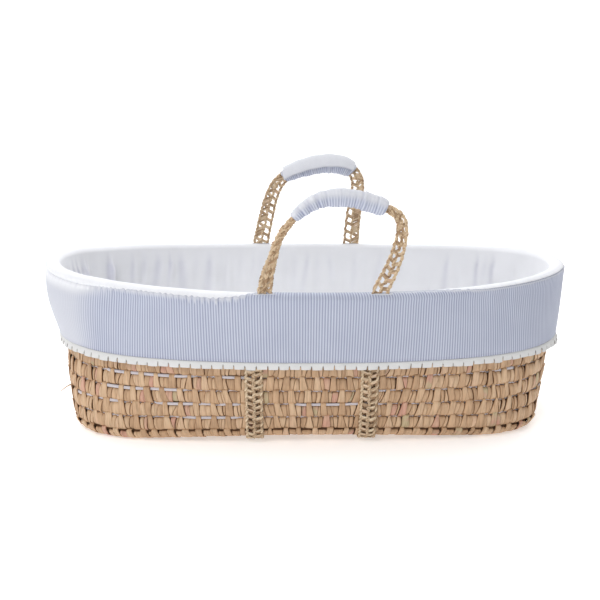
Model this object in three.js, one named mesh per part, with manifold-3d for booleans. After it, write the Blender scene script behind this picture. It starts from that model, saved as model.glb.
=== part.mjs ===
// Moses basket: a sewn palm-leaf basket, its padded liner, two carrying handles and a mattress.
// Millimetres. +X points to the head end, +Y away from the near side, +Z up. The origin is on the
// floor under the middle of the basket.
import * as THREE from 'three';
import * as BufferGeometryUtils from 'three/addons/utils/BufferGeometryUtils.js';
import Module from 'manifold-3d';

// Basket wall: its outer face runs from the base outline to the rim outline.
const BASE_HALF = { length: 365, width: 160, roundness: 4 };
const RIM_HALF = { length: 400, width: 211, roundness: 2.22 };
const WALL_TOP = 224;
const WALL_THICK = 6;
const BULGE = 5; // the wall swells this much halfway up
const HEAD_TAPER = 0.02; // the head end is this much wider than the middle
const END_RISE = 15; // the rim is this much higher at both ends
const HEAD_DIP = 3.5; // and slopes down by this much towards the head end, and up towards the foot end
const FOOT_TUCK = 9; // the foot end is drawn in by this much just over halfway up
const ARCH = 8.5; // the base is this much off the floor in the middle
const ARCH_REACH = 276; // and touches the floor from here out
const SEGMENTS = 40; // steps round the basket
const GAP = 0.3; // between pieces that touch

// Turns of the sewn braid, from the rounded bottom edge up to the rim.
const CORNER_TURN = 16.6;
const TURN_PITCH = 23;
const TURNS = 10;
const CORNER = [[-16, 0], [-6, 3], [-1, 9], [0, CORNER_TURN]]; // outside of the first turn, from under the basket
const BASE_THICK = 6;

// Carrying bands: plaits that go down the near wall, under the base and up the far wall. They go
// straight down the palm wall at x, and lean under the skirt to their slits in the rim.
const BANDS = { left: { x: -81, near: -64, far: -75 }, right: { x: 86, near: 96, far: 91 } };
const LEAN_FROM = 126;
const BAND = { width: 25, thick: 4, clearance: 0.6 };

// Liner: floor sheet, padded wall, roll over the rim, outer skirt and its frilled hem.
const LINER_FLOOR = { z: 7.9, thick: 2, inset: 7.8 };
const WALL_PAD = { bottom: 10.3, thick: 7, clearance: 1.5 };
const ROLL = { halfWidth: 11.5, halfHeight: 8, offset: -1 };
const SKIRT = { bottom: 137.5, offset: 7.9, thick: 2.3 };
const TRIM = { bottom: 126.5, flare: 1.2, thick: 2.2 };
const SLIT = { length: 29.6, width: 6.4, binding: 1.2, recess: 0.4 };

// Handles: the x and z of the plait's middle line, and the padded grip's reach along x.
const HANDLE_START_Z = 244.2;
const NEAR = {
  route: [[-64, HANDLE_START_Z], [-60, 266], [-53, 290], [-44, 316], [-32, 335], [-13, 355], [8, 368], [32, 372.5],
    [58, 371], [82, 364.5], [103, 357], [118, 348], [124, 333], [121, 308], [113, 281], [96, HANDLE_START_Z]],
  plait: { width: 23, thick: 4 }, core: { width: 12, thick: 7 },
  grip: { from: -25, to: 101, padding: 4.6, side: 5.4 },
};
const FAR = {
  route: [[-75, HANDLE_START_Z], [-70, 268], [-64, 294], [-56, 324], [-45, 348], [-30, 364], [-6, 374.5],
    [20, 381.5], [48, 385], [74, 381.5], [93, 371.5], [101.5, 354], [99.5, 324], [94.5, 288], [91, HANDLE_START_Z]],
  plait: { width: 27, thick: 4 }, core: { width: 22, thick: 7 },
  grip: { from: -38, to: 97, padding: 4.9, side: 6.2 },
};
const HANDLE_STEPS = 42;
const COVER_THICK = 1.3;
const HANDLE_PLANE = 211.7; // distance of both handles from the basket's middle plane

// Mattress: foam in a cover of two halves that a zip joins.
const MATTRESS = { length: 348.5, width: 144, roundness: 3.8, z: 18.1, thick: 36, edge: 5, cover: 1.2 };
const ZIP = { height: 6, thick: 1 };

const COLOURS = {
  palm: 0xb08a5e, plait: 0xa88a5c, lining: 0xf1f2f4, stripe: 0xc3cbe0, trim: 0xf6f6f4, foam: 0xefe6c8,
  cover: 0xfafafa, zip: 0xdddddd, padding: 0xf4f4f4,
};

const wasm = await Module();
wasm.setup();
const basket = new THREE.Group();

function add(name, geometry, colour, roughness = 0.9) {
  const material = new THREE.MeshStandardMaterial({ color: colour, roughness, metalness: 0 });
  const mesh = new THREE.Mesh(geometry, material);
  mesh.name = name;
  basket.add(mesh);
  return mesh;
}

const mix = (a, b, share) => a + (b - a) * share;

// Six times the volume that the faces enclose, negative when they face inwards.
function enclosed(points, faces) {
  const normal = new THREE.Vector3();
  return faces.reduce((sum, [a, b, c]) => sum + points[a].dot(normal.crossVectors(points[b], points[c])), 0);
}

// A closed solid through rows of points. Each row is a loop. The rows run in a loop too when
// looped is true, and otherwise the first and last row are closed with a fan.
function skin(rows, looped) {
  const count = rows[0].length;
  const points = rows.flat();
  const faces = [];
  const bands = looped ? rows.length : rows.length - 1;
  for (let i = 0; i < bands; i++) {
    const here = i * count;
    const there = ((i + 1) % rows.length) * count;
    for (let j = 0; j < count; j++) {
      const next = (j + 1) % count;
      faces.push([here + j, here + next, there + next], [here + j, there + next, there + j]);
    }
  }
  if (!looped) {
    for (const [row, turn] of [[0, -1], [rows.length - 1, 1]]) {
      const middle = points.length;
      const centre = rows[row].reduce((sum, p) => sum.add(p), new THREE.Vector3());
      points.push(centre.divideScalar(count));
      for (let j = 0; j < count; j++) {
        const edge = [row * count + j, row * count + ((j + 1) % count)];
        faces.push(turn > 0 ? [edge[0], edge[1], middle] : [edge[1], edge[0], middle]);
      }
    }
  }
  if (enclosed(points, faces) < 0) faces.forEach((face) => face.reverse());
  const geometry = new THREE.BufferGeometry().setFromPoints(points);
  geometry.setIndex(faces.flat());
  return geometry;
}

// A rounded rectangle between an ellipse (roundness 2) and a box, at angle t.
function outline(t, length, width, roundness) {
  const c = Math.cos(t);
  const s = Math.sin(t);
  const reach = (Math.abs(c) ** roundness + Math.abs(s) ** roundness) ** (-1 / roundness);
  return [length * reach * c, width * reach * s];
}

// How far the arch lifts a point at x, a share of the way up the wall.
const archLift = (x, up) => ARCH * Math.max(0, 1 - (x / ARCH_REACH) ** 2) * (1 - up) ** 2;

// How much higher the rim is at x than its nominal height.
const rimRise = (x) => END_RISE * Math.abs(x / RIM_HALF.length) ** 2.5 - (HEAD_DIP * x) / RIM_HALF.length;

// How far the foot end is drawn in towards the middle at x, a share of the way up the wall.
const footTuck = (x, up) => (
  FOOT_TUCK * THREE.MathUtils.smoothstep(-x, 250, 370) * Math.exp(-(((up - 0.6) / 0.22) ** 2)));

// The point at angle t, height z and distance out from the wall's outer face.
function wallPoint(t, out, z) {
  const up = Math.min(z / WALL_TOP, 1);
  const swell = out + BULGE * 4 * up * (1 - up);
  const foot = outline(t, BASE_HALF.length + swell, BASE_HALF.width + swell, BASE_HALF.roundness);
  const head = outline(t, RIM_HALF.length + swell, RIM_HALF.width + swell, RIM_HALF.roundness);
  const straight = mix(foot[0], head[0], up);
  const x = straight + footTuck(straight, up);
  const y = mix(foot[1], head[1], up) * (1 + (HEAD_TAPER * x) / RIM_HALF.length);
  return new THREE.Vector3(x, y, z + rimRise(x) * up + archLift(x, up));
}

const angles = Array.from({ length: SEGMENTS }, (_, i) => (2 * Math.PI * i) / SEGMENTS);

// A ring that follows the wall, with a section of [out, z] corners.
const wallRing = (section) => skin(angles.map((t) => section.map(([out, z]) => wallPoint(t, out, z))), true);

// The corners of a section that is thick, from z to z, and follows the wall's swell in steps.
function upright(out, thick, bottom, top, steps) {
  const levels = Array.from({ length: steps + 1 }, (_, i) => mix(bottom, top, i / steps));
  return [...levels.map((z) => [out, z]), ...levels.reverse().map((z) => [out - thick, z])];
}

// A plate over the base, out to a distance from the wall's outer face.
function basePlate(out, bottom, top) {
  const shares = [0.3, 0.6, 0.87, 1];
  const ring = (share, z) => angles.map((t) => {
    const edge = wallPoint(t, out, z);
    const x = edge.x * share;
    return new THREE.Vector3(x, edge.y * share, z + archLift(x, z / WALL_TOP));
  });
  const lower = shares.map((share) => ring(share, bottom));
  const upper = shares.map((share) => ring(share, top)).reverse();
  return skin([...lower, ...upper], false);
}

// ---- The sewn palm basket ----
function addBasket() {
  add('base_mat', basePlate(CORNER[0][0] - GAP, 0, BASE_THICK), COLOURS.palm);
  const corner = [...CORNER.slice(0, -1), [0, CORNER_TURN - GAP / 2],
    [-WALL_THICK, CORNER_TURN - GAP / 2], [-7, 7.5], [CORNER[0][0], BASE_THICK]];
  add('wall_turn_01', wallRing(corner), COLOURS.palm);
  for (let turn = 2; turn <= TURNS; turn++) {
    const bottom = CORNER_TURN + (turn - 2) * TURN_PITCH + GAP / 2;
    const top = Math.min(bottom + TURN_PITCH - GAP, WALL_TOP - GAP);
    const name = `wall_turn_${String(turn).padStart(2, '0')}`;
    add(name, wallRing(upright(0, WALL_THICK, bottom, top, 1)), COLOURS.palm);
  }
}

// ---- The carrying bands under the basket ----
// The y of the wall at x on the far side, found by halving the angle.
function wallY(x, out, z) {
  let low = 0;
  let high = Math.PI;
  for (let i = 0; i < 40; i++) {
    const middle = (low + high) / 2;
    if (wallPoint(middle, out, z).x > x) low = middle;
    else high = middle;
  }
  return wallPoint(low, out, z);
}

// The furthest-out wall point over the width of a band at x.
function wallUnderBand(x, out, z) {
  const points = [-BAND.width / 2, 0, BAND.width / 2].map((side) => wallY(x + side, out, z));
  const lowest = Math.min(...points.map((p) => p.z));
  return new THREE.Vector2(Math.max(...points.map((p) => p.y)), z < CORNER_TURN ? lowest : points[1].z);
}

// A line of Vector2 moved to its right by a distance, with mitred corners.
function offsetLine(line, distance) {
  return line.map((point, i) => {
    const before = line[Math.max(i - 1, 0)];
    const after = line[Math.min(i + 1, line.length - 1)];
    const one = point.clone().sub(i ? before : point.clone().multiplyScalar(2).sub(after)).normalize();
    const two = (i < line.length - 1 ? after.clone().sub(point) : point.clone().sub(before)).normalize();
    const along = one.clone().add(two).normalize();
    const reach = distance / along.dot(one);
    return new THREE.Vector2(point.x + along.y * reach, point.y - along.x * reach);
  });
}

// The outside of the basket under one half of a band, from the middle of the underside up to the
// roll's top: the band's x, and the (y, z) of the line under it.
function outsideLine(x, slitX) {
  const levels = [];
  for (let z = CORNER_TURN + TURN_PITCH; z < WALL_TOP - TURN_PITCH / 2; z += TURN_PITCH) levels.push([0, z]);
  const line = [...CORNER, ...levels, [0, WALL_TOP]].map(([out, z]) => {
    const lean = Math.max(0, (z - LEAN_FROM) / (WALL_TOP - LEAN_FROM));
    const side = mix(x, slitX, lean);
    return { side, at: wallUnderBand(side, out, z) };
  });
  const top = line[line.length - 1].at;
  return [...line, { side: slitX, at: new THREE.Vector2(top.x, slitTop(slitX)) }];
}

const slitTop = (x) => WALL_TOP + GAP + 2 * ROLL.halfHeight + rimRise(x) - SLIT.recess;
const bandTopY = (x) => wallUnderBand(x, 0, WALL_TOP).x + BAND.clearance + BAND.thick / 2;

function bandGeometry({ x, near, far }) {
  const halves = [near, far].map((slitX) => outsideLine(x, slitX));
  const mirrored = halves[0].map(({ side, at }) => ({ side, at: new THREE.Vector2(-at.x, at.y) }));
  const whole = [...mirrored.reverse(), ...halves[1]];
  const line = whole.map(({ at }) => at);
  const inner = offsetLine(line, BAND.clearance);
  const outer = offsetLine(line, BAND.clearance + BAND.thick);
  const half = BAND.width / 2;
  const rows = whole.map(({ side }, i) => [[-half, inner[i]], [half, inner[i]], [half, outer[i]], [-half, outer[i]]]
    .map(([across, p]) => new THREE.Vector3(side + across, p.x, p.y)));
  return skin(rows, false);
}

function addBands() {
  for (const [side, band] of Object.entries(BANDS)) add(`${side}_carrying_band`, bandGeometry(band), COLOURS.plait);
}

// ---- The liner ----
function toManifold(geometry) {
  const plain = BufferGeometryUtils.mergeVertices(geometry.deleteAttribute('normal').deleteAttribute('uv'));
  const vertProperties = new Float32Array(plain.attributes.position.array);
  const triVerts = new Uint32Array(plain.index.array);
  return new wasm.Manifold(new wasm.Mesh({ numProp: 3, vertProperties, triVerts }));
}

function toGeometry(manifold) {
  const mesh = manifold.getMesh();
  const geometry = new THREE.BufferGeometry();
  geometry.setAttribute('position', new THREE.BufferAttribute(mesh.vertProperties, 3));
  return geometry.setIndex(new THREE.BufferAttribute(mesh.triVerts, 1));
}

// The four places where the plaits come up through the rim.
const SLITS = ['near', 'far'].flatMap((side) => Object.entries(BANDS).map(([end, band]) => (
  { name: `${side}_${end}`, x: band[side], y: (side === 'near' ? -1 : 1) * bandTopY(band[side]) })));

function rollGeometry() {
  const corners = Array.from({ length: 8 }, (_, i) => {
    const turn = (Math.PI * i) / 4;
    const z = WALL_TOP + GAP + ROLL.halfHeight * (1 + Math.sin(turn));
    return [ROLL.offset + ROLL.halfWidth * Math.cos(turn), z];
  });
  const room = SLIT.binding + GAP;
  let roll = toManifold(wallRing(corners));
  for (const slit of SLITS) {
    const box = new THREE.BoxGeometry(SLIT.length + 2 * room, SLIT.width + 2 * room, 60);
    roll = roll.subtract(toManifold(box.translate(slit.x, slit.y, WALL_TOP)));
  }
  return toGeometry(roll);
}

function rectangle(length, width) {
  return new THREE.Shape([
    new THREE.Vector2(-length / 2, -width / 2), new THREE.Vector2(length / 2, -width / 2),
    new THREE.Vector2(length / 2, width / 2), new THREE.Vector2(-length / 2, width / 2)]);
}

function bindingGeometry(depth) {
  const frame = rectangle(SLIT.length + 2 * SLIT.binding, SLIT.width + 2 * SLIT.binding);
  frame.holes.push(rectangle(SLIT.length, SLIT.width));
  return new THREE.ExtrudeGeometry(frame, { depth, bevelEnabled: false });
}

function addLiner() {
  const { z, thick, inset } = LINER_FLOOR;
  const edge = SKIRT.offset + SKIRT.thick;
  add('liner_floor', basePlate(-inset, z, z + thick), COLOURS.lining);
  const padTop = WALL_TOP - GAP;
  const padOut = -WALL_THICK - WALL_PAD.clearance;
  add('liner_wall_pad', wallRing(upright(padOut, WALL_PAD.thick, WALL_PAD.bottom, padTop, 8)), COLOURS.lining);
  add('rim_roll', rollGeometry(), COLOURS.lining);
  add('outer_skirt', wallRing(upright(edge, SKIRT.thick, SKIRT.bottom, padTop, 4)), COLOURS.stripe);
  const hem = SKIRT.bottom - GAP;
  add('hem_frill', wallRing([[edge, hem], [edge + TRIM.flare, TRIM.bottom],
    [edge + TRIM.flare - TRIM.thick, TRIM.bottom], [edge - TRIM.thick, hem]]), COLOURS.trim);
  for (const slit of SLITS) {
    const bottom = WALL_TOP + 1;
    const binding = add(`slit_binding_${slit.name}`, bindingGeometry(slitTop(slit.x) - bottom), COLOURS.trim);
    binding.position.set(slit.x, slit.y, bottom);
  }
}

// ---- The handles ----
// The plait's middle line: points, the direction across the plait in the handle's plane, and how
// wide and thick the plait is there. The plait is squeezed narrower and thicker inside the grip.
function handleFrames({ route, plait, core, grip }) {
  const curve = new THREE.CatmullRomCurve3(route.map(([x, z]) => new THREE.Vector3(x, 0, z)));
  const points = curve.getSpacedPoints(HANDLE_STEPS);
  const from = points.findIndex((p) => p.x >= grip.from);
  const to = points.findIndex((p) => p.x >= grip.to);
  return points.map((point, i) => {
    const along = curve.getTangentAt(i / HANDLE_STEPS);
    const atEnd = i === 0 || i === HANDLE_STEPS;
    const across = atEnd ? new THREE.Vector3(Math.sign(along.z), 0, 0) : new THREE.Vector3(along.z, 0, -along.x);
    const near = Math.min(1, i / from, (HANDLE_STEPS - i) / (HANDLE_STEPS - to));
    const share = near * near * (3 - 2 * near);
    const width = mix(plait.width, core.width, share);
    return { point, across, width, thick: mix(plait.thick, core.thick, share), inGrip: i >= from && i <= to };
  });
}

// Eight points round a frame, on a box or on an oval, grown by a margin across and sideways.
function sectionAt(frame, across, side, boxed) {
  return Array.from({ length: 8 }, (_, i) => {
    const c = Math.cos((Math.PI * i) / 4);
    const s = Math.sin((Math.PI * i) / 4);
    const u = (frame.width / 2 + across) * (boxed ? Math.sign(Math.round(c * 2)) : c);
    const v = (frame.thick / 2 + side) * (boxed ? Math.sign(Math.round(s * 2)) : s);
    return frame.point.clone().addScaledVector(frame.across, u).add(new THREE.Vector3(0, v, 0));
  });
}

// An open tube along the grip between an inner and an outer section.
function sleeve(frames, inner, outer) {
  return skin([...frames.map(outer), ...frames.map(inner).reverse()], true);
}

function addHandle(name, spec, y) {
  const frames = handleFrames(spec);
  const gripFrames = frames.filter((frame) => frame.inGrip);
  const { padding, side } = spec.grip;
  const strap = skin(frames.map((f) => sectionAt(f, 0, 0, true).filter((_, i) => i % 2)), false);
  const hollow = (f) => sectionAt(f, GAP, GAP, true);
  const padSkin = (f) => sectionAt(f, padding, side, false);
  const coverInside = (f) => sectionAt(f, padding + GAP, side + GAP, false);
  const coverSkin = (f) => sectionAt(f, padding + GAP + COVER_THICK, side + GAP + COVER_THICK, false);
  const pieces = [
    add(`${name}_handle_plait`, strap, COLOURS.plait),
    add(`${name}_grip_padding`, sleeve(gripFrames, hollow, padSkin), COLOURS.padding),
    add(`${name}_grip_cover`, sleeve(gripFrames, coverInside, coverSkin), COLOURS.stripe),
  ];
  for (const piece of pieces) piece.position.y = y;
}

// ---- The mattress ----
// A ring of the mattress outline, moved in by an inset, at a height.
function mattressRing(inset, z) {
  return angles.map((t) => {
    const [x, y] = outline(t, MATTRESS.length - inset, MATTRESS.width - inset, MATTRESS.roundness);
    return new THREE.Vector3(x, y * (1 + (HEAD_TAPER * x) / RIM_HALF.length), z);
  });
}

// Half of the cover: a tray from its flat face to its rim near the zip.
function coverHalf(face, rim) {
  const { edge, cover } = MATTRESS;
  const inward = Math.sign(rim - face);
  return skin([
    mattressRing(edge, face), mattressRing(0, face + edge * inward), mattressRing(0, rim),
    mattressRing(cover, rim), mattressRing(cover, face + (edge + cover) * inward),
    mattressRing(edge + cover, face + cover * inward)], false);
}

function addMattress() {
  const { z, thick, edge, cover } = MATTRESS;
  const seam = z + thick / 2;
  const inset = cover + GAP;
  const core = [mattressRing(edge + inset, z + inset), mattressRing(inset, z + edge + inset),
    mattressRing(inset, z + thick - edge - inset), mattressRing(edge + inset, z + thick - inset)];
  add('mattress_core', skin(core, false), COLOURS.foam);
  add('mattress_cover_base', coverHalf(z, seam - GAP / 2), COLOURS.cover);
  add('mattress_cover_top', coverHalf(z + thick, seam + GAP / 2), COLOURS.cover);
  const zip = [[-GAP, -1], [-GAP - ZIP.thick, -1], [-GAP - ZIP.thick, 1], [-GAP, 1]]
    .map(([inset_, side]) => mattressRing(inset_, seam + (side * ZIP.height) / 2));
  add('mattress_zip', skin(zip, true), COLOURS.zip);
}

addBasket();
addBands();
addLiner();
addHandle('near', NEAR, -HANDLE_PLANE);
addHandle('far', FAR, HANDLE_PLANE);
addMattress();

export default basket;
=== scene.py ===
"""Moses basket: the visual model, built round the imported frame. Metres, +X towards the head end."""
import math

import bpy
import numpy as np
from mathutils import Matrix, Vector


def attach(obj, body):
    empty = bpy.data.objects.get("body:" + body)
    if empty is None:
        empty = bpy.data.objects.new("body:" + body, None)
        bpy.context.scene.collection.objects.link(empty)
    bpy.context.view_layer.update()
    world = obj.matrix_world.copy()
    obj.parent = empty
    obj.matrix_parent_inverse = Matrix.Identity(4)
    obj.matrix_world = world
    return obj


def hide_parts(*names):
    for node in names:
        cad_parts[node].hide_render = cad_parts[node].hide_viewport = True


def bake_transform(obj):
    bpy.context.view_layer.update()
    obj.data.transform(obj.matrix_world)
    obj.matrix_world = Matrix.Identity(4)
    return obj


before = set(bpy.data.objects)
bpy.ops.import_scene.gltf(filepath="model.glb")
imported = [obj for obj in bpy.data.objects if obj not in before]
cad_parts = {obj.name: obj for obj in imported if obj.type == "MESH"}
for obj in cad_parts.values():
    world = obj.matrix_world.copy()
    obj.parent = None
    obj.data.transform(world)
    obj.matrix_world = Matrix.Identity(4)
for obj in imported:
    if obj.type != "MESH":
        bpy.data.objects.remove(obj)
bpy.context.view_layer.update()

# ---- Dimensions, as in the CAD part ----
BASE_HALF = (0.365, 0.160, 4.0)  # length, width, roundness
RIM_HALF = (0.400, 0.211, 2.22)
WALL_TOP = 0.224
BULGE = 0.005
HEAD_TAPER = 0.02
END_RISE = 0.015
HEAD_DIP = 0.0035
FOOT_TUCK = 0.009
ARCH = 0.0085
ARCH_REACH = 0.276
CORNER_TURN = 0.0166
TURN_PITCH = 0.023
CORNER_IN = 0.016
BANDS = {"left": {"x": -0.081, "near": -0.064, "far": -0.075},
         "right": {"x": 0.086, "near": 0.096, "far": 0.091}}
LEAN_FROM = 0.126
ROLL = {"out": -0.001, "z": 0.2323, "half_width": 0.0115, "half_height": 0.008}
SKIRT_OUT = 0.0102
SKIRT_BOTTOM = 0.1375
TRIM_BOTTOM = 0.1265
PAD_IN = -0.0145
HANDLE_Y = 0.2117
NEAR_ROUTE = [(-64, 244.2), (-60, 266), (-53, 290), (-44, 316), (-32, 335), (-13, 355), (8, 368),
              (32, 372.5), (58, 371), (82, 364.5), (103, 357), (118, 348), (124, 333), (121, 308),
              (113, 281), (96, 244.2)]
FAR_ROUTE = [(-75, 244.2), (-70, 268), (-64, 294), (-56, 324), (-45, 348), (-30, 364), (-6, 374.5),
             (20, 381.5), (48, 385), (74, 381.5), (93, 371.5), (101.5, 354), (99.5, 324), (94.5, 288), (91, 244.2)]
STRIPE = 0.00383  # one blue and one white stripe
PLEAT = 0.0157  # one panel of the hem frill
LEAF_GROUP = {1: 0.0215, 2: 0.0234}  # the width of a group of strips, by its number of plain ones
MATTRESS_HALF = (0.3485, 0.144, 3.8)  # length, width, roundness
MATTRESS_Z = 0.0181
MATTRESS_THICK = 0.036
WHITE = (1, 1, 1, 1)


# ---- Small helpers ----
def srgb(red, green, blue):
    """A colour given as 0-255 screen values, as linear RGBA."""
    def channel(value):
        value /= 255
        return value / 12.92 if value <= 0.04045 else ((value + 0.055) / 1.055) ** 2.4
    return (channel(red), channel(green), channel(blue), 1.0)


def smooth(value):
    value = np.clip(value, 0, 1)
    return value * value * (3 - 2 * value)


def run(points):
    """The distance along a line of points, or along each of several, at each point."""
    steps = np.linalg.norm(np.diff(points, axis=-2), axis=-1)
    return np.concatenate([np.zeros_like(steps[..., :1]), np.cumsum(steps, -1)], -1)


def unit(vectors):
    return vectors / (np.linalg.norm(vectors, axis=-1, keepdims=True) + 1e-12)


def sample(at, s, rows):
    """Rows that are known at the lengths s, read off at other lengths."""
    return np.stack([np.interp(at, s, column) for column in rows.T], -1)


def pairs(first, second):
    """Two coordinates side by side, each spread over the other's shape."""
    return np.stack(np.broadcast_arrays(first, second), -1)


def circle(count):
    return np.arange(count) * 2 * math.pi / count


def wave_noise(s, length, seed, octaves):
    """Smooth noise round a closed line of a given length: s in metres, about -1 to 1."""
    rng = np.random.default_rng(seed)
    total = np.zeros_like(s)
    for cycles, size in octaves:
        for near in range(3):
            phase = rng.uniform(0, 2 * math.pi)
            total += size * rng.uniform(0.5, 1) * np.sin(2 * math.pi * (cycles + near) * s / length + phase)
    return total / sum(size for _, size in octaves) / 1.6


def outline(t, length, width, roundness):
    c, s = np.cos(t), np.sin(t)
    reach = (np.abs(c) ** roundness + np.abs(s) ** roundness) ** (-1 / roundness)
    return length * reach * c, width * reach * s


def arch_lift(x, up):
    return ARCH * np.maximum(0, 1 - (x / ARCH_REACH) ** 2) * (1 - up) ** 2


def wall(t, out, z):
    """Points at angle t, a distance out from the palm wall's outer face, and height z."""
    t, out, z = np.broadcast_arrays(*(np.asarray(value, float) for value in (t, out, z)))
    up = np.clip(z / WALL_TOP, 0, 1)
    swell = out + BULGE * 4 * up * (1 - up)
    foot = outline(t, BASE_HALF[0] + swell, BASE_HALF[1] + swell, BASE_HALF[2])
    head = outline(t, RIM_HALF[0] + swell, RIM_HALF[1] + swell, RIM_HALF[2])
    x = foot[0] * (1 - up) + head[0] * up
    x = x + FOOT_TUCK * smooth((-x - 0.25) / 0.12) * np.exp(-((up - 0.6) / 0.22) ** 2)
    y = (foot[1] * (1 - up) + head[1] * up) * (1 + HEAD_TAPER * x / RIM_HALF[0])
    rise = (END_RISE * np.abs(x / RIM_HALF[0]) ** 2.5 - HEAD_DIP * x / RIM_HALF[0]) * up
    return np.stack([x, y, z + rise + arch_lift(x, up)], axis=-1)


class Ring:
    """A closed line round the basket at one height, measured along its length from the foot end."""

    def __init__(self, out, z):
        self.t = np.linspace(-math.pi, math.pi, 4001)
        self.s = run(wall(self.t, out, z))
        self.length = self.s[-1]

    def angle(self, s):
        turns = np.floor(np.asarray(s) / self.length)
        return np.interp(s - turns * self.length, self.s, self.t) + 2 * math.pi * turns


# ---- Mesh building ----
def fan(ring, tip, flip):
    """Triangles from a closed ring of point numbers to a tip, written as quads with the tip twice."""
    after, tips = np.roll(ring, -1), np.full(len(ring), tip)
    return np.stack([after, ring, tips, tips] if flip else [ring, after, tips, tips], -1)


class Builder:
    """Collects closed pieces of mesh, with a tone and an edge value for each point and a UV map. The edge value is
    painted shade, darkest at 1.
    """

    def __init__(self):
        self.points, self.faces, self.tone, self.edge, self.uv = [], [], [], [], []
        self.count = 0

    def add(self, points, faces, tone=0.5, edge=0.0, uv=None):
        count = len(points)
        self.points.append(points)
        self.faces.append(faces + self.count)
        for kept, value in ((self.tone, tone), (self.edge, edge)):
            kept.append(np.broadcast_to(np.asarray(value, float).ravel(), count))
        self.uv.append(np.zeros((count, 2)) if uv is None else uv.reshape(-1, 2))
        self.count += count

    def plates(self, top, back, tone, edge, uv):
        """Closed plates. top and back are (n, rows, columns, 3) grids of points."""
        n, rows, columns = top.shape[:3]
        cell = rows * columns
        grid = np.arange(cell).reshape(rows, columns)
        front_faces = np.stack([grid[:-1, :-1], grid[:-1, 1:], grid[1:, 1:], grid[1:, :-1]], -1).reshape(-1, 4)
        border = np.concatenate([grid[0, :], grid[1:, -1], grid[-1, -2::-1], grid[-2:0:-1, 0]])
        after = np.roll(border, -1)
        sides = np.stack([after, border, border + cell, after + cell], -1)
        faces = np.concatenate([front_faces, front_faces[:, ::-1] + cell, sides])
        all_faces = (faces[None] + (np.arange(n) * 2 * cell)[:, None, None]).reshape(-1, 4)
        points = np.concatenate([top.reshape(n, cell, 3), back.reshape(n, cell, 3)], axis=1)
        twice = [np.concatenate([value.reshape(n, cell, -1)] * 2, axis=1) for value in (tone, edge, uv)]
        self.add(points.reshape(-1, 3), all_faces, *twice)

    def grid(self, points, tone=0.5, edge=0.0, uv=None, closed=True):
        """A surface through a (rows, columns, 3) grid. Its rows are closed rings, and where closed is true
        its last row joins its first."""
        rows, columns = points.shape[:2]
        index = np.arange(rows * columns).reshape(rows, columns)
        if closed:
            index = np.concatenate([index, index[:1]])
        index = np.concatenate([index, index[:, :1]], axis=1)
        faces = np.stack([index[:-1, :-1], index[:-1, 1:], index[1:, 1:], index[1:, :-1]], -1).reshape(-1, 4)
        tone, edge = (np.broadcast_to(value, (rows, columns)) for value in (tone, edge))
        self.add(points.reshape(-1, 3), faces, tone, edge, uv)

    def tube(self, centres, radius, side, sides=6, tone=0.5, flat=1.0, edge=0.0):
        """A tube with closed ends along centres. side is any direction across it, and flat is its
        thickness as a share of its width."""
        rows = len(centres)
        along = unit(np.gradient(centres, axis=0))
        first = unit(np.cross(along, np.broadcast_to(np.asarray(side, float), centres.shape)))
        second = np.cross(first, along)
        turn = circle(sides)
        radius, edge = (np.broadcast_to(np.asarray(value, float), rows) for value in (radius, edge))
        spokes = np.cos(turn)[:, None] * first[:, None] + flat * np.sin(turn)[:, None] * second[:, None]
        rings = centres[:, None] + radius[:, None, None] * spokes
        uv = pairs(run(centres)[:, None], turn * radius[:, None])
        index = np.arange(rows * sides).reshape(rows, sides)
        around = np.roll(index, -1, axis=1)
        skin = np.stack([index[:-1], around[:-1], around[1:], index[1:]], -1).reshape(-1, 4)
        faces = [skin, fan(index[0], rows * sides, True), fan(index[-1], rows * sides + 1, False)]
        self.add(np.concatenate([rings.reshape(-1, 3), centres[[0, -1]]]), np.concatenate(faces), tone,
                 np.concatenate([np.repeat(edge, sides), edge[[0, -1]]]),
                 np.concatenate([uv.reshape(-1, 2), uv[[0, -1], 0]]))

    def make(self, name, material):
        """The mesh as an object, with its faces turned outwards."""
        points = np.concatenate(self.points)
        faces = np.concatenate(self.faces).tolist()
        faces = [face[:3] if face[2] == face[3] else face for face in faces]
        mesh = bpy.data.meshes.new(name)
        mesh.from_pydata(points.tolist(), [], faces)
        for label, values in (("tone", self.tone), ("edge", self.edge)):
            attribute = mesh.attributes.new(label, "FLOAT", "POINT")
            attribute.data.foreach_set("value", np.concatenate(values).astype(np.float32))
        corners = np.zeros(len(mesh.loops), np.int32)
        mesh.loops.foreach_get("vertex_index", corners)
        layer = mesh.uv_layers.new(name="cloth")
        layer.data.foreach_set("uv", np.concatenate(self.uv)[corners].astype(np.float32).ravel())
        mesh.materials.append(material)
        mesh.polygons.foreach_set("use_smooth", np.full(len(mesh.polygons), True))
        mesh.update()
        mesh.calc_loop_triangles()
        triangles = np.zeros(len(mesh.loop_triangles) * 3, np.int32)
        mesh.loop_triangles.foreach_get("vertices", triangles)
        a, b, c = points[triangles].reshape(-1, 3, 3).swapaxes(0, 1)
        if np.einsum("ij,ij->i", a, np.cross(b, c)).sum() < 0:  # the volume is negative
            mesh.flip_normals()
        piece = bpy.data.objects.new(name, mesh)
        bpy.context.scene.collection.objects.link(piece)
        return piece

    def finish(self, name, material, body, slot_name, *nodes):
        """Makes the piece. It rides on a body and stands for its CAD nodes, which it hides. slot_name is not used.
        """
        piece = self.make(name, material)
        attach(piece, body)
        if nodes:
            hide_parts(*nodes)
        return piece


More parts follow.
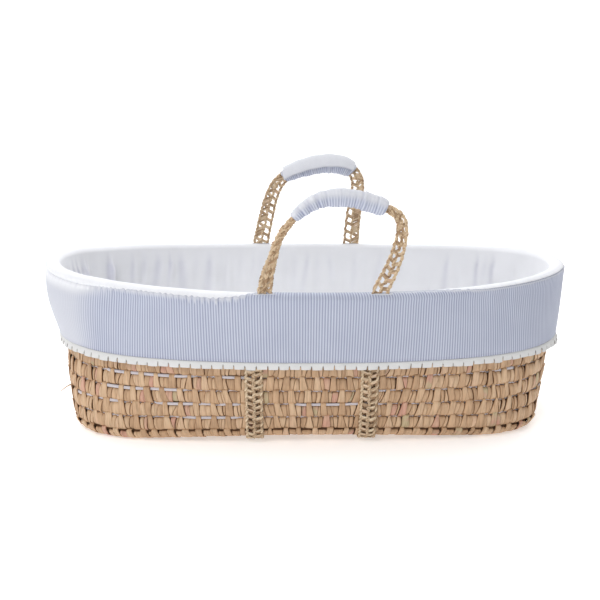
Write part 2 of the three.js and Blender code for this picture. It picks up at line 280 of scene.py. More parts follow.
# ---- Materials ----
class Nodes:
    """A short way to wire a node material."""

    def __init__(self, name, roughness):
        self.material = bpy.data.materials.new(name)
        self.material.use_nodes = True
        self.tree = self.material.node_tree
        self.shader = self.tree.nodes["Principled BSDF"]
        self.shader.inputs["Roughness"].default_value = roughness
        self.shader.inputs["Specular IOR Level"].default_value = 0.25

    def feed(self, node, inputs):
        """Gives each input a value, or links it to another node's output."""
        for key, value in inputs.items():
            if isinstance(value, bpy.types.NodeSocket):
                self.tree.links.new(value, node.inputs[key])
            else:
                node.inputs[key].default_value = value

    def node(self, kind, inputs, output=0, **settings):
        """Adds a node and returns one of its outputs."""
        node = self.tree.nodes.new(kind)
        for key, value in settings.items():
            setattr(node, key, value)
        self.feed(node, inputs)
        return node.outputs[output]

    def math(self, operation, first, second=0.0):
        return self.node("ShaderNodeMath", {0: first, 1: second}, operation=operation)

    def about_half(self, value, size):
        """How far a value is from 0.5, times size."""
        return self.math("MULTIPLY", self.math("SUBTRACT", value, 0.5), size)

    def attribute(self, name):
        return self.node("ShaderNodeAttribute", {}, "Fac", attribute_name=name)

    def uv(self, across, along):
        cloth = self.node("ShaderNodeUVMap", {}, uv_map="cloth")
        return self.node("ShaderNodeMapping", {0: cloth, "Scale": (across, along, 1)})

    def place(self, scale):
        spot = self.node("ShaderNodeTexCoord", {}, "Object")
        return self.node("ShaderNodeMapping", {0: spot, "Scale": (scale, scale, scale)})

    def noise(self, vector, detail):
        return self.node("ShaderNodeTexNoise", {"Vector": vector, "Scale": 1.0, "Detail": detail}, "Fac")

    def ramp(self, value, stops):
        node = self.tree.nodes.new("ShaderNodeValToRGB")
        self.feed(node, {0: value})
        elements = node.color_ramp.elements
        while len(elements) < len(stops):
            elements.new(0.5)
        for element, (position, colour) in zip(elements, stops):
            element.position = position
            element.color = colour
        return node.outputs[0]

    def mix(self, share, first, second, blend="MIX"):
        inputs = {0: share, 6: first, 7: second}
        return self.node("ShaderNodeMix", inputs, 2, data_type="RGBA", blend_type=blend)

    def finish(self, colour, shadow, height, distance, strength):
        """Paints shade: darkens the colour towards the shadow colour where the edge value is high, and adds a
        relief.
        """
        shade = self.ramp(self.attribute("edge"), shadow)
        relief = self.node("ShaderNodeBump", {"Distance": distance, "Strength": strength, "Height": height})
        self.feed(self.shader, {"Base Color": self.mix(1.0, colour, shade, "MULTIPLY"), "Normal": relief})
        return self.material


def palm_material(name, stops, across, along):
    """Dry palm leaf: a tone for each strip, long fibres, so many to a metre on each UV axis, and painted shade
    where the edge value is high.
    """
    mat = Nodes(name, 0.62)
    blotch = mat.about_half(mat.noise(mat.place(60), 2.0), 0.35)
    base = mat.ramp(mat.math("ADD", mat.attribute("tone"), blotch), stops)
    fibre, rib = (mat.math("MULTIPLY", mat.noise(mat.uv(across * scale, along * scale), detail), 0.5)
                  for scale, detail in ((1, 4.0), (0.4, 1.0)))
    grain = mat.math("ADD", fibre, rib)
    streak = mat.ramp(grain, [(0.3, (0.60, 0.55, 0.50, 1)), (0.52, WHITE), (0.7, (1.12, 1.1, 1.05, 1))])
    shadow = [(0.0, WHITE), (0.6, (0.82, 0.74, 0.66, 1)), (1.0, (0.40, 0.31, 0.24, 1))]
    return mat.finish(mat.mix(0.8, base, streak, "MULTIPLY"), shadow, grain, 0.0004, 0.8)


def cloth_material(name, plain, stops=None, weave=0.0009, sheen=0.15, dark=(0.55, 0.55, 0.66, 1)):
    """Soft cotton: stripes along the first UV axis where stops are given, and a fine weave.

    The stripes' tone is 0 for full stripes, 1 for the plain colour and 2 for the lining's white."""
    mat = Nodes(name, 0.85)
    mat.shader.inputs["Sheen Weight"].default_value = sheen
    threads = mat.noise(mat.uv(1 / weave, 1 / weave), 2.0)
    mottle = mat.noise(mat.place(25), 2.0)
    if stops:
        across = mat.node("ShaderNodeSeparateXYZ", {0: mat.uv(2 * math.pi / STRIPE, 1)})
        wave = mat.math("ADD", mat.math("MULTIPLY", mat.math("SINE", across), 0.5), 0.5)
        uneven = mat.math("ADD", wave, mat.about_half(mottle, 0.3))
        base = mat.mix(mat.attribute("tone"), mat.ramp(uneven, stops), plain)
        base = mat.mix(mat.math("SUBTRACT", mat.attribute("tone"), 1.0), base, LINING_WHITE)
        height = mat.math("ADD", mat.math("MULTIPLY", wave, 0.8), mat.math("MULTIPLY", threads, 0.3))
    else:
        base = mat.ramp(mottle, [(0.3, tuple(0.965 * c for c in plain[:3]) + (1,)), (0.7, plain)])
        height = threads
    fine = mat.ramp(threads, [(0.3, (0.93, 0.93, 0.94, 1)), (0.6, WHITE)])
    # dark is the colour of the painted shade where the edge value is 1.
    shadow = [(0.0, WHITE), (1.0, dark)]
    return mat.finish(mat.mix(0.8, base, fine, "MULTIPLY"), shadow, height, 0.0003, 0.7)


LINING_WHITE = srgb(238, 239, 243)
PALM = palm_material("palm_leaf", [
    (0.0, srgb(174, 142, 112)), (0.3, srgb(202, 168, 135)), (0.55, srgb(214, 184, 152)),
    (0.75, srgb(211, 175, 149)), (0.88, srgb(204, 157, 138)), (1.0, srgb(193, 176, 142))], 900, 60)
PALM_SHADE = palm_material("palm_shade", [(0.0, srgb(84, 60, 42)), (1.0, srgb(112, 82, 58))], 300, 60)
PLAIT = palm_material("palm_plait", [
    (0.0, srgb(150, 122, 94)), (0.35, srgb(197, 172, 143)), (0.7, srgb(232, 214, 186)),
    (1.0, srgb(218, 184, 158))], 120, 1400)
CORD = cloth_material("lacing_cord", srgb(208, 202, 206), weave=0.0006, sheen=0.3)
LINING = cloth_material("white_lining", LINING_WHITE)
STRIPES = cloth_material("striped_cotton", srgb(207, 209, 217), [
    (0.0, srgb(157, 163, 186)), (0.40, srgb(164, 170, 191)), (0.64, srgb(190, 195, 210)),
    (1.0, srgb(203, 208, 221))])
# The frill's shade colour is a dark brown: painted shadow in its notches.
TRIM = cloth_material("frill_cotton", srgb(222, 222, 221), dark=(0.22, 0.19, 0.17, 1))
QUILT = cloth_material("mattress_cotton", srgb(244, 244, 242))
TAPE = cloth_material("zip_tape", srgb(214, 214, 216), weave=0.0005)


# ---- The woven palm basket ----
JOINTS = [0.0] + [CORNER_TURN + TURN_PITCH * k for k in range(6)]
CROSS_U = np.array([0, 0.07, 0.3, 0.7, 0.93, 1.0])  # places across a strip
# Painted shade across a strip, dark at its two sides where it meets the next.
CROSS_SHADE = np.array([0.8, 0.05, 0, 0, 0.05, 0.8])


def strip_shape(along, depth, edge, pinch):
    """Places along a strip, and there its depth, its painted shade and how far it draws in. Both in mm."""
    return np.array(along), np.array(depth) / 1000, np.array(edge), np.array(pinch) / 1000


# The third list of each shape is painted shade along the strip, darkest at its ends where it tucks under.
PLAIN = strip_shape([0, 0.07, 0.2, 0.5, 0.8, 0.93, 1.0], [-2.6, -1.2, 0.2, 0.8, 0.2, -1.2, -2.6],
                    [1, 0.3, 0.05, 0, 0.05, 0.3, 1], [0.5, 0.1, 0, 0, 0, 0.1, 0.5])
KNOT = strip_shape([0, 0.06, 0.18, 0.5, 0.76, 0.9, 1.0], [-2.4, -0.8, 0.5, 1.0, 0.9, 1.5, -1.0],
                   [1, 0.3, 0.05, 0, 0, 0, 0.7], [0.3, 0, 0, 0, 0.1, 0.2, 0.5])


def on_wall(bottom, top):
    """Places points of a turn on the wall: v runs from its lower to its upper edge, d is out."""
    return lambda t, v, d: wall(t, d, bottom + (top - bottom) * v)


def on_corner(t, v, d):
    """The rounded turn from the underside (v = 0) up to the wall (v = 1)."""
    turn = (1 - np.clip(v, 0, 1.2)) * math.pi / 2
    z = CORNER_TURN - (CORNER_TURN + d) * np.sin(turn)
    return wall(t, (CORNER_IN + d) * np.cos(turn) - CORNER_IN, np.maximum(z, 0.0003))


def on_base(inner, outer):
    """A turn under the base between two distances in from the wall; d is down, and never under the floor."""
    return lambda t, v, d: wall(t, -(inner + (outer - inner) * v), np.maximum(0.0012 - d, 0.0003))


def leaf_tones(rng, n):
    odd = rng.uniform(size=n) < 0.07
    return np.where(odd, rng.uniform(0.78, 1.0, n), rng.uniform(0.15, 0.62, n))


def cord_shows(k, t):
    """How openly the lacing cord lies in joint k, 0 to 1: it sinks out of sight here and there."""
    x = wall(t, 0, JOINTS[k])[..., 0]
    drift = wave_noise(t / (2 * math.pi), 1.0, 500 + k, ((5, 1.0), (11, 0.8), (23, 0.6)))
    usual = (-9.0, -9.0, 0.0, 0.45, 0.2, 0.0, 0.0)[k]
    foot = 1.2 * smooth((-0.29 - x) / 0.03)
    return smooth(0.35 + usual + 1.5 * drift - 0.85 * smooth((x + 0.12) / 0.05) - foot)


def joint_gap(k, t):
    """The share of a turn's height that its strips stop short of joint k, and how far the joint wanders."""
    open_gap = 0.012 + 0.088 * np.maximum(cord_shows(k, t), 0.6 if k == 1 else 0.0)
    return open_gap, 0.0014 * wave_noise(t / (2 * math.pi), 1.0, 600 + k, ((6, 1.0), (17, 0.9), (41, 0.9)))


def woven_turn(build, ring, place, height, seed, joints=None, fan_out=0.0008, slope=0.0026, bridge=0.17,
               plain=2):
    """One turn of the braid: leaf strips bent over its lacing cord, in groups of one knot and some plain ones.

    The knot goes on over the joint above by bridge and is wider below by fan_out. slope is how far strips
    lean. joints gives the numbers of the joints at the lower and upper edge, where the cord may show."""
    rng = np.random.default_rng(seed)
    n = int(round(ring.length / LEAF_GROUP[plain]))
    step = ring.length / n
    shares = (0, 0.45, 0.72) if plain > 1 else (0, 0.48)
    begin = step * (np.arange(n) + rng.uniform()) + rng.normal(0, 0.0012, n)
    cuts = [begin + share * step + rng.normal(0, 0.0009, n) * (share > 0) for share in shares]
    trend = slope * wave_noise(begin, ring.length, seed, ((3, 1.0), (7, 0.9), (17, 0.8)))
    spreads = ((fan_out, 0.0009), (-fan_out, 0.0009), (0.0008, 0.0014))
    leans = [trend + rng.normal(*spread, n) for spread in spreads[:len(cuts)]]
    cuts.append(np.append(begin[1:], begin[0] + ring.length))
    leans.append(np.roll(leans[0], -1))
    for k in range(plain + 1):
        start, end, lean_start, lean_end = cuts[k], cuts[k + 1], leans[k], leans[k + 1]
        along, depths, edges, pinches = PLAIN if k else KNOT
        middle = ring.angle((start + end) / 2)
        low, high = np.full(n, 0.03), np.full(n, 0.97)
        if joints:
            (below, shift_low), (above, shift_high) = (joint_gap(joint, middle) for joint in joints)
            low, high = below + shift_low / height * (joints[0] > 0), 1 - above + shift_high / height
        if bridge and not k:
            high = high + np.clip(1 - high, 0, 0.1) + bridge
        low = low + rng.normal(0, 0.014, n)
        high = high + rng.normal(0, 0.014, n)
        v = low[:, None] + (high - low)[:, None] * along
        tilt = (2 * np.clip(v, 0, 1) - 1)[:, :, None]
        gap = rng.uniform(0.00002, 0.0003, n)[:, None, None]
        a = start[:, None, None] + gap + lean_start[:, None, None] * tilt + pinches[None, :, None]
        b = end[:, None, None] - gap + lean_end[:, None, None] * tilt - pinches[None, :, None]
        s = a + (b - a) * CROSS_U
        lift = rng.normal(0, 0.0004, n)[:, None, None] + (0.0003 if k == 0 else 0)
        roll = rng.normal(0, 0.0006, n)[:, None, None] * (2 * CROSS_U - 1)
        across = 0.0008 * (1 - (2 * CROSS_U - 1) ** 4) - 0.0005
        depth = depths[None, :, None] + across[None, None] + lift + roll
        t = ring.angle(s)
        vv = np.broadcast_to(v[:, :, None], s.shape)
        tone = np.broadcast_to(leaf_tones(rng, n)[:, None, None], s.shape)
        # Painted shade: dark along a strip's sides and at its ends, where it meets the next and tucks under.
        edge = np.broadcast_to(np.maximum(CROSS_SHADE, edges[:, None]), s.shape)
        shift = rng.uniform(0, 5, n)[:, None, None]
        build.plates(place(t, vv, depth), place(t, vv, depth - 0.0011), tone, edge,
                     pairs(s + shift, vv * height + shift))


def closed_ring(build, t, sections, tone=0.5, edge=0.0, uv=None):
    """A closed ring through sections: (columns, points, 2) of out and z at each angle t."""
    build.grid(wall(t[:, None], sections[..., 0], sections[..., 1]), tone, edge, uv)


def painted_shade_inside(name, columns, section):
    """The braid's inside as a dark sheet of painted shade, seen between the strips: a ring of one section of (out,
    z) points.
    """
    build = Builder()
    closed_ring(build, np.linspace(-math.pi, math.pi, columns, endpoint=False),
                np.broadcast_to(np.array(section), (columns, len(section), 2)))
    build.finish(name, PALM_SHADE, "basket", "palm_braid")


def make_basket():
    for k in range(6):
        bottom, top = JOINTS[k], JOINTS[k + 1]
        build = Builder()
        if k:
            ring, place, height = Ring(0, (bottom + top) / 2), on_wall(bottom, top), top - bottom
        else:
            ring, place, height = Ring(-0.002, 0.004), on_corner, 0.0205
        woven_turn(build, ring, place, height, 100 + k, (k, k + 1), fan_out=0.0015 if k == 1 else 0.0008,
                   slope=0.0012 if k < 2 else 0.0030, bridge=0.19 if k else 0.14, plain=2 if k else 1)
        build.finish(f"woven_turn_{k + 1:02d}", PALM, "basket", "palm_braid", f"wall_turn_{k + 1:02d}")
    painted_shade_inside("braid_inside_shade", 360, [
        (-0.0150, 0.0032), (-0.0080, 0.0055), (-0.0045, 0.0105), (-0.0032, 0.0165),
        *((-0.0032, z) for z in np.linspace(0.022, 0.131, 8)), (-0.0058, 0.131),
        *((-0.0058, z) for z in np.linspace(0.12, 0.016, 8)), (-0.0080, 0.0068), (-0.0150, 0.0056)])
    # The lacing cord in the joints between the turns.
    build = Builder()
    turn = circle(8)
    for k in range(2, 6):
        ring = Ring(0, JOINTS[k])
        s = np.linspace(0, ring.length, 900, endpoint=False)[:, None]
        t = ring.angle(s)
        out = -0.0038 + 0.0034 * cord_shows(k, t) + 0.0012 * np.cos(turn)
        z = JOINTS[k] + joint_gap(k, t)[1] + 0.0024 * np.sin(turn)
        closed_ring(build, t[:, 0], pairs(out, z), uv=pairs(s, 0.0013 * turn))
    build.finish("lacing_cord", CORD, "basket", "palm_braid")


def make_underside():
    turns = 5
    pitch = (BASE_HALF[1] - CORNER_IN) / (turns + 0.5)
    build = Builder()
    for k in range(turns + 1):
        inner = CORNER_IN + k * pitch
        outer = min(inner + pitch, BASE_HALF[1] - 0.0004)
        woven_turn(build, Ring(-(inner + outer) / 2, 0), on_base(inner, outer), outer - inner, 200 + k,
                   bridge=0.12 if k < turns else 0.0, plain=1)
    build.finish("woven_base", PALM, "basket", "palm_braid", "base_mat")
    inward = (-0.0165, -0.06, -0.11, -0.1585)
    painted_shade_inside("base_inside_shade", 240, [(out, 0.0028) for out in inward] + [(out, 0.0054) for out in inward[::-1]])


def make_straw():
    """A loose end of straw at the foot end."""
    steps = np.linspace(0, 1, 8)[:, None]
    path = wall(-math.pi + 0.40, 0.0002, 0.062) + steps * (-0.017, -0.004, -0.005) + steps ** 2 * (0, 0, -0.006)
    build = Builder()
    build.tube(path, np.linspace(0.0012, 0.0006, 8), (0, 1, 0), 5, 0.3)
    build.finish("loose_straw", PLAIT, "basket", "palm_braid")


# ---- Openwork plaits: carrying bands and handles ----
def ladder(build, path, across, widths, period, seed, slant=(0.2, 0.36), dense=lambda share, side: False):
    """Three twisted rails with two columns of rungs between them, along a path.

    dense says where a column's rungs stand so close that hardly any gap is left."""
    rng = np.random.default_rng(seed)
    s = run(path)
    length = s[-1]
    out = unit(np.cross(unit(np.gradient(path, axis=0)), across))

    def place(at, u, side, up):
        """u is the share across, side the metres across from there, up the metres out."""
        base, cross, normal = (sample(at, s, rows) for rows in (path, across, out))
        reach = u * np.interp(at, s, widths) + side
        return base + cross * reach[:, None] + normal * np.broadcast_to(up, at.shape)[:, None]

    at = np.linspace(0, length, int(length / 0.0016))
    rail_side = (0, 0, 1) if abs(across[0, 2]) < 0.9 else (1, 0, 0)
    drift = 0.0007 * wave_noise(at, length, seed + 7, ((7, 1), (15, 0.8)))
    for rail, wave in ((-0.5, 0.0004), (0.0, 0.0012), (0.5, 0.0004)):
        inward = -math.copysign(0.0021, rail) if rail else 0.0
        for strand in range(2):
            turn = 2 * math.pi * (at + 2 * drift) / 0.0135 + math.pi * strand + rail * 2
            weave = wave * np.sin(2 * math.pi * (at + 3 * drift) / period + rail) + (0 if rail else drift)
            lumps = wave_noise(at, length, seed + strand + int(6 * rail), ((31, 1), (57, 1)))
            size = 0.0016 * (1 + 0.12 * lumps)
            centre = place(at, rail, inward + weave + 0.0011 * np.cos(turn), 0.0010 * np.sin(turn))
            # Painted shade on the side of each twist that turns in and along its sides, and darker patches at
            # random along the strand.
            edge = 0.5 * np.clip(-np.sin(turn), 0, 1) + 0.35 * np.clip(np.abs(np.cos(turn)) - 0.6, 0, 1)
            edge += 0.7 * np.clip(wave_noise(at, length, seed + 5 + strand, ((61, 1), (107, 1))), 0, 1)
            build.tube(centre, size, rail_side, 6, rng.uniform(0.15, 0.75), edge=np.clip(edge, 0, 1))
    steps = np.linspace(0, 1, 7)
    # Painted shade towards a rung's ends, where it dives under the rails.
    dive = 0.55 * (2 * np.abs(steps - 0.5)) ** 2
    for side in (-1, 1):
        low = 0.0 if side < 0 else period / 2
        while low < length:
            close = dense(low / length, side)
            high = low + period * (rng.uniform(0.35, 0.7) if close else rng.uniform(*slant))
            if high < length:
                at = low + (high - low) * steps
                u = side * 0.5 * (1 - (steps[::-1] if close and rng.uniform() < 0.5 else steps) * 0.98)
                lift = 0.0012 * np.sin(math.pi * (steps * 1.2 - 0.1)) + rng.normal(0, 0.0002)
                normal = out[min(len(out) - 1, int(low / length * len(out)))]
                for strand in (0, 1):
                    centre = place(np.clip(at + strand * 0.0026, 0, length), u, -side * 0.0015 * (1 - steps),
                                   lift - 0.0005 * strand)
                    # A rung's second strand, lying lower, gets more painted shade.
                    build.tube(centre, rng.uniform(0.0014, 0.0018) * (1.15 if close else 1), normal, 6,
                               rng.uniform(0.1, 0.9), 0.8, dive + 0.2 * strand)
            low += period * (0.5 if close else 1.0) * rng.uniform(0.88, 1.12)


def outside_line(x, slit_x):
    """The basket's outside under half a band, from the middle of the underside up to the slit."""
    t = np.linspace(0.02, math.pi - 0.02, 1500)
    turn = np.linspace(math.pi / 2, 0, 7)
    spots = [(CORNER_IN * math.cos(a) - CORNER_IN, CORNER_TURN - CORNER_TURN * math.sin(a)) for a in turn]
    spots += [(0.0, z) for z in np.linspace(CORNER_TURN, WALL_TOP, 24)[1:]]
    line = [(x, 0.0, float(arch_lift(x, 0.0)))]
    for out, z in spots:
        side = x + (slit_x - x) * max(0.0, (z - LEAN_FROM) / (WALL_TOP - LEAN_FROM))
        points = wall(t, out, z)
        order = np.argsort(points[:, 0])
        line.append((side, *(np.interp(side, points[order, 0], points[order, k]) for k in (1, 2))))
    top = line[-1]
    return np.array(line + [(slit_x, top[1], top[2] + 0.0150)])


def make_bands():
    for side, band in BANDS.items():
        near, far = (outside_line(band["x"], band[end]) for end in ("near", "far"))
        both = np.concatenate([near[:0:-1] * (1, -1, 1), far])
        moved = both + 0.0029 * np.cross(unit(np.gradient(both, axis=0)), (1.0, 0, 0))
        s = run(moved)
        path = sample(np.linspace(0, s[-1], int(s[-1] / 0.004)), s, moved)
        path[:, 2] = np.maximum(path[:, 2], 0.0024)
        build = Builder()
        across = np.broadcast_to((1.0, 0.0, 0.0), path.shape)
        ladder(build, path, across, np.full(len(path), 0.0260), 0.0108, 300 + len(side), (0.3, 0.55))
        build.finish(f"{side}_band_plait", PLAIT, "basket", "plait", f"{side}_carrying_band")


def catmull(points):
    """A centripetal curve through points, as close steps."""
    p = np.asarray(points, float)
    p = np.vstack([2 * p[0] - p[1], p, 2 * p[-1] - p[-2]])
    parts = []
    u = np.linspace(0, 1, 24, endpoint=False)[:, None]
    for p0, p1, p2, p3 in zip(p, p[1:], p[2:], p[3:]):
        d0, d1, d2 = (np.linalg.norm(b - a) ** 0.5 for a, b in ((p0, p1), (p1, p2), (p2, p3)))
        m1 = ((p1 - p0) / d0 - (p2 - p0) / (d0 + d1) + (p2 - p1) / d1) * d1
        m2 = ((p2 - p1) / d1 - (p3 - p1) / (d1 + d2) + (p3 - p2) / d2) * d1
        parts.append(p1 + m1 * u + (3 * (p2 - p1) - 2 * m1 - m2) * u ** 2 + (2 * (p1 - p2) + m1 + m2) * u ** 3)
    return np.vstack(parts + [p[-2:-1]])


class Handle:
    """The plait's middle line in the x-z plane, evenly spaced, with the direction across it."""

    def __init__(self, route, y, widths, grip):
        """widths are the plait's at its left foot, halfway up, the grip's two ends, halfway down and at its
        right foot. grip holds the x at which the grip begins and ends."""
        curve = catmull(np.array(route) / 1000)
        low, high = ([end - (0.0, 0.0085 * share) for share in shares]
                     for end, shares in ((curve[0], (1, 0.66, 0.33)), (curve[-1], (0.33, 0.66, 1))))
        curve = np.vstack([low, curve, high])
        s = run(curve)
        self.length = s[-1]
        self.s = np.linspace(0, self.length, 200)
        x, z = sample(self.s, s, curve).T
        self.path = np.stack([x, np.full_like(x, y), z], -1)
        along = unit(np.gradient(self.path, axis=0))
        self.across = np.stack([along[:, 2], np.zeros_like(x), -along[:, 0]], -1)
        self.start, self.end = (self.s[np.argmax(x >= spot)] for spot in grip)
        marks = [0, self.start / 2, self.start, self.end, (self.end + self.length) / 2, self.length]
        self.widths = np.interp(self.s, marks, widths)

    def at(self, s):
        return tuple(sample(s, self.s, rows) for rows in (self.path, self.across))


NEAR = Handle(NEAR_ROUTE, -HANDLE_Y, (0.0215, 0.0128, 0.0085, 0.0115, 0.0190, 0.0240), (-0.025, 0.101))
FAR = Handle(FAR_ROUTE, HANDLE_Y, (0.0285, 0.0262, 0.0205, 0.0210, 0.0270, 0.0285), (-0.034, 0.092))


def make_handle_plaits():
    for name, handle, period, seed, dense in (
            ("near", NEAR, 0.0125, 41, lambda share, side: share < 0.4 or side > 0 and 0.6 < share < 0.75),
            ("far", FAR, 0.0138, 42, lambda share, side: side < 0)):
        build = Builder()
        ladder(build, handle.path, handle.across, handle.widths, period, seed, dense=dense)
        plait = build.make(f"{name}_handle_strap", PLAIT)
        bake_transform(plait)
        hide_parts(f"{name}_handle_plait")


def half_width(share, profile, grow=0.0):
    """A grip's half width along it: profile holds the places as shares and the half widths there in mm."""
    return np.interp(share, profile[0], np.array(profile[1]) / 1000) + grow


def grip_surface(handle, across, side, wrinkle, seed, inner):
    """The skin of a padded grip: a closed tube round the plait, with its ends tucked in.

    across and side are its outer profiles, and inner the half widths of its hollow."""
    rows, columns, inner_step = 220, 48, 6
    length = handle.end - handle.start
    share = np.linspace(0, 1, rows)
    s = handle.start + share * length
    turn = circle(columns)
    rng = np.random.default_rng(seed)
    folds = np.zeros((rows, columns))
    for _ in range(26):
        pitch = rng.uniform(0.0045, 0.016)
        lean = rng.uniform(-0.35, 0.35)
        middle, reach = rng.uniform(0, length), rng.uniform(0.015, 0.05)
        facing = rng.uniform(0, 2 * math.pi)
        weight = np.exp(-((share * length - middle) / reach) ** 2)[:, None]
        weight = weight * (0.6 + 0.4 * np.cos(turn - facing))[None]
        folds += weight * np.sin(2 * math.pi * (share * length)[:, None] / pitch + lean * turn[None] + facing)
    folds *= wrinkle / 2.2
    tuck = np.minimum(1, np.minimum(share, 1 - share) * length / 0.004)
    tuck = np.sqrt(np.clip(1 - (1 - tuck) ** 2, 0, 1))
    lump = 1 + 0.05 * wave_noise(share, 1.0, seed, ((2, 1), (5, 0.6)))
    a, b = ((half_width(share, profile) * lump * (0.78 + 0.22 * tuck))[:, None] + folds * tuck[:, None]
            for profile in (across, side))
    centre, cross = (values[:, None] for values in handle.at(s))
    outside, inside = (
        centre + (wide * np.cos(turn))[..., None] * cross + (deep * np.sin(turn))[..., None] * (0, 1.0, 0)
        for wide, deep in ((a, b), inner))
    inside = inside[::-1][::inner_step]
    # Painted shade in the hollows of the folds and at the tucked ends, and full shade on the hollow's inner face.
    edge = np.concatenate([np.clip(-folds / wrinkle, 0, 1) * 0.3 + (1 - tuck)[:, None] * 0.5,
                           np.ones((len(inside), columns))])
    s = np.concatenate([s, s[::-1][::inner_step]])[:, None]
    warp = 0.0009 * wave_noise(s, handle.length, seed + 1, ((17, 1), (29, 1), (43, 0.8)))
    lean = 0.0012 * wave_noise(s, handle.length, seed + 2, ((5, 1), (9, 1)))
    # Painted light: the grip's upper side turns from stripes to plain and then lining white, as if lit from above,
    # unevenly along it.
    painted_top_light = 0.15 + 1.15 * smooth((0.25 - np.cos(turn)) / 0.9)
    painted_top_light = painted_top_light + 0.2 * wave_noise(s, handle.length, seed + 3, ((11, 1), (23, 1)))
    build = Builder()
    build.grid(np.concatenate([outside, inside]), painted_top_light, edge,
               pairs(s + warp + lean * np.cos(turn - 0.6), turn * 0.012))
    return build


def make_grips():
    for name, handle, across, side, wrinkle, seed, inner in (
            ("near", NEAR, ([0, 0.08, 0.25, 0.5, 0.8, 0.95, 1], [7.0, 8.6, 10.6, 12.2, 13.0, 12.4, 10.4]),
             ([0, 0.2, 0.6, 1], [6.8, 9.4, 10.4, 9.4]), 0.0005, 71, (0.0074, 0.0042)),
            ("far", FAR, ([0, 0.1, 0.4, 0.8, 1], [10.5, 13.0, 15.2, 15.2, 12.5]),
             ([0, 0.2, 0.7, 1], [8.0, 10.4, 10.9, 8.8]), 0.0004, 72, (0.0108, 0.0042))):
        build = grip_surface(handle, across, side, wrinkle, seed, inner)
        grip = build.finish(f"{name}_grip", STRIPES, f"{name}_handle", "striped_cotton",
                            f"{name}_grip_cover", f"{name}_grip_padding")


def make_flap():
    """The far grip's loose flap, folded over the top from the back and hanging to mid height in front."""
    rows, columns = 90, 26
    over = np.linspace(0, 1, columns)
    begin, finish = -0.01 + 0.07 * smooth(over / 0.35), 0.985 - 0.03 * smooth(over / 0.35)
    share = begin + (finish - begin) * np.linspace(0, 1, rows)[:, None]
    s = FAR.start + share * (FAR.end - FAR.start)
    centre, cross = FAR.at(s)
    front = np.interp(share, [0, 0.3, 0.7, 1], [-0.10, -0.08, -0.06, 0.02])
    turn = math.pi - front * math.pi - 1.35 * math.pi * over  # from the front, over the outer side, to the back
    wave = 0.0007 * np.sin(share * 31) * (1 - over)
    skins = []
    for lift in (0.0024, 0.0008):
        a = half_width(share, ([0, 0.1, 0.4, 0.8, 1], [11.5, 14.0, 16.3, 16.6, 14.0]), lift + wave)
        b = half_width(share, ([0, 0.2, 0.7, 1], [9.0, 11.4, 12.0, 10.4]), lift + wave)
        skin = centre - (a * np.sin(turn))[..., None] * cross
        skins.append(skin + (b * np.cos(turn))[..., None] * np.array([0, 1.0, 0]))
    edge = np.zeros((1, rows, columns))
    # Painted shade along the flap's free edge in front.
    edge[..., 0] = 0.4
    build = Builder()
    build.plates(skins[0][None], skins[1][None], np.full_like(edge, 1.45), edge, pairs(s, 0.03 * over)[None])
    flap = build.finish("far_grip_flap", STRIPES, "far_handle", "striped_cotton")


# ---- The liner ----
def seam_angle(x, t):
    """Where on the rim roll the white lining meets the striped skirt, in radians from level.

    It is low on the outside at the foot end, on top between the handles, and puckered beside them."""
    level = np.interp(
        x, [-0.40, -0.34, -0.30, -0.25, -0.20, -0.13, -0.10, -0.07, 0.09, 0.17, 0.21, 0.25, 0.32, 0.40],
        [-40, -34, -4, 8, 6, -4, 25, 80, 86, 80, 62, 38, 31, 27])
    level = np.where(t > 0, np.minimum(level, 38), level)
    pucker = np.interp(x, [-0.34, -0.26, -0.11, -0.08, 0.1, 0.2, 0.26], [1, 7, 11, 5, 4, 5, 0.5])
    ripple = wave_noise(t / (2 * math.pi), 1.0, 27, ((170, 1.0), (260, 1.0), (330, 0.8)))
    return np.radians(level + pucker * ripple)


def crispness(x):
    """How sharp the groove along the seam is, and with it how dark the seam's painted shade line and how bright
    the painted highlight beside it.
    """
    return np.interp(x, [-0.2, 0.05, 0.18, 0.28], [0.12, 0.2, 0.6, 1.0])


def on_roll(angle, grow=0.0):
    return pairs(ROLL["out"] + (ROLL["half_width"] + grow) * np.cos(angle),
                 ROLL["z"] + (ROLL["half_height"] + grow) * np.sin(angle))


def both(values):
    """A sheet's values from its top to its hem and back, for its two faces."""
    return np.concatenate([values, values[:, ::-1]], 1)


RIM_RING = Ring(0.010, WALL_TOP)
HEM_RING = Ring(SKIRT_OUT, SKIRT_BOTTOM)


